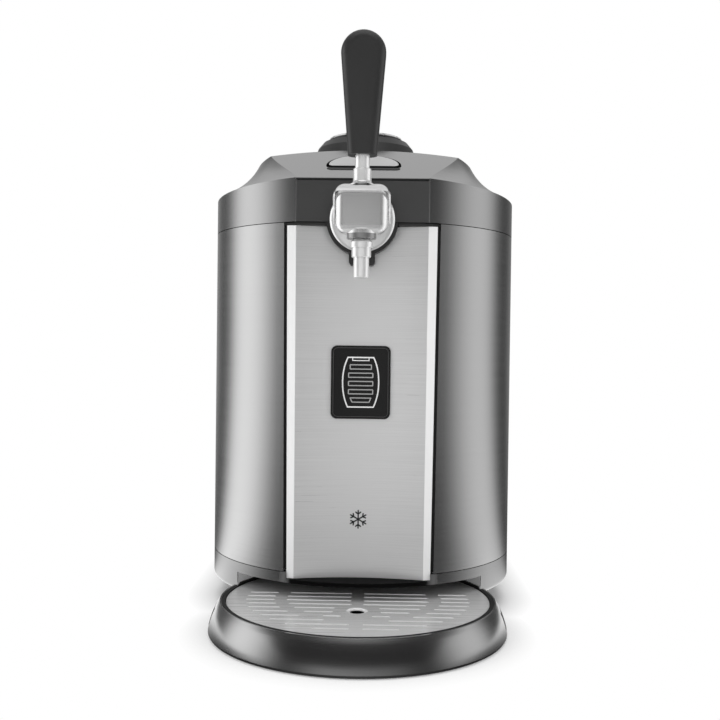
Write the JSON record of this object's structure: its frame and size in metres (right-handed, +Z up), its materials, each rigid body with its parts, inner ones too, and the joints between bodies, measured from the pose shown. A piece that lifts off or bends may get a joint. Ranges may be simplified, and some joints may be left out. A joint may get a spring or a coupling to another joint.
{
  "type": "mini keg beer dispenser",
  "caption": "Countertop chiller and tap for a small beer keg: round-fronted steel cabinet, hinged lid with pressure dial, lever tap and a sliding drip tray with slotted grille.",
  "frame": {"origin": "on the surface it stands on, below the centre of the overall box", "axes": "+Z up, -Y out of the front past the tap, +X to the right seen from the front"},
  "size_m": [0.275, 0.4588, 0.4785],
  "materials": {
    "side_steel": "satin dark silver",
    "panel_steel": "fine horizontal brushing",
    "tap_chrome": "polished",
    "grille_steel": "satin",
    "black_plastic": "fine texture",
    "dark_plastic": "satin dark grey",
    "handle_plastic": "soft gloss, dark grey",
    "fascia_metal": "satin dark grey",
    "dial_metal": "satin, turned",
    "window_plastic": "glossy black",
    "board_green": "circuit board",
    "liner_aluminium": "mill finish",
    "foam": "rigid foam",
    "seal_rubber": "matt",
    "hose_plastic": "milky flexible hose",
    "plated_steel": "zinc or nickel plated",
    "galvanised_steel": "galvanised sheet",
    "compressor_paint": "black enamel",
    "brass": "machined",
    "copper": "drawn copper tube"
  },
  "bodies": {
    "cabinet": {"base_ring": "side_steel", "left_side_shell": "side_steel", "right_side_shell": "side_steel", "front_panel": "panel_steel", "front_frame": "black_plastic", "gauge_window": "window_plastic", "gauge_board": "board_green", "keg_liner": "liner_aluminium", "cooling_sleeve": "liner_aluminium", "insulation": "foam", "top_deck": "black_plastic", "tap_bezel": "black_plastic", "tap_body": "tap_chrome", "spout": "tap_chrome", "tap_shank": "plated_steel", "shank_washer": "plated_steel", "shank_nut": "plated_steel", "pivot_screws": "tap_chrome", "beer_line": "hose_plastic", "keg_coupler": "black_plastic", "base_pan": "galvanised_steel", "rubber_feet": "seal_rubber", "compressor": "compressor_paint", "compressor_plate": "galvanised_steel", "compressor_grommets": "seal_rubber", "condenser": "liner_aluminium", "fan_frame": "black_plastic", "filter_drier": "copper", "discharge_pipe": "copper", "suction_pipe": "copper", "capillary_tube": "copper", "rear_cover": "black_plastic", "cover_screws": "plated_steel", "mains_inlet": "black_plastic", "inlet_blades": "brass", "switch_housing": "black_plastic", "control_board": "board_green", "body_hinges": "plated_steel", "hinge_pins": "plated_steel"},
    "lid": {"lid_shell": "side_steel", "lid_fascia": "fascia_metal", "lid_liner": "black_plastic", "lid_foam": "foam", "lid_seal": "seal_rubber", "dial_skirt": "dark_plastic", "gas_regulator": "brass"},
    "lid_button": {"lid_button": "dark_plastic"},
    "dial": {"dial_cap": "dial_metal"},
    "tap_lever": {"lever_yoke": "tap_chrome", "tap_handle": "handle_plastic"},
    "tray": {"tray_shell": "side_steel", "drip_bowl": "black_plastic", "tray_grips": "seal_rubber"},
    "grille": {"drip_grille": "grille_steel"},
    "fan": {"fan_rotor": "black_plastic"},
    "power_switch": {"switch_rocker": "black_plastic"}
  },
  "joints": [
    {"name": "lid_hinge", "type": "hinge", "parent": "cabinet", "child": "lid", "pos_m": [0, 0.2248, 0.3339], "axis": [-1, 0, 0], "range_deg": [0, 90]},
    {"name": "button_press", "type": "slide", "parent": "lid", "child": "lid_button", "axis": [0, 0.4384, -0.8988], "range_m": [0, 0.003], "stiffness_N_per_m": 900, "springref_m": -0.002},
    {"name": "dial_turn", "type": "hinge", "parent": "lid", "child": "dial", "pos_m": [0, 0.0166, 0.42], "axis": [0, 0, 1], "range_deg": [0, 270]},
    {"name": "tap_lever_pull", "type": "hinge", "parent": "cabinet", "child": "tap_lever", "pos_m": [0, -0.1414, 0.3358], "axis": [1, 0, 0], "range_deg": [0, 40]},
    {"name": "tray_slide", "type": "slide", "parent": "cabinet", "child": "tray", "axis": [0, -1, 0], "range_m": [0, 0.12]},
    {"name": "grille_lift", "type": "slide", "parent": "tray", "child": "grille", "axis": [0, 0, 1], "range_m": [0, 0.01]},
    {"name": "fan_spin", "type": "hinge", "parent": "cabinet", "child": "fan", "pos_m": [0.036, 0.1946, 0.084], "axis": [0, 1, 0], "continuous": true},
    {"name": "switch_rock", "type": "hinge", "parent": "cabinet", "child": "power_switch", "pos_m": [-0.062, 0.2156, 0.184], "axis": [1, 0, 0], "range_deg": [0, 12]}
  ]
}
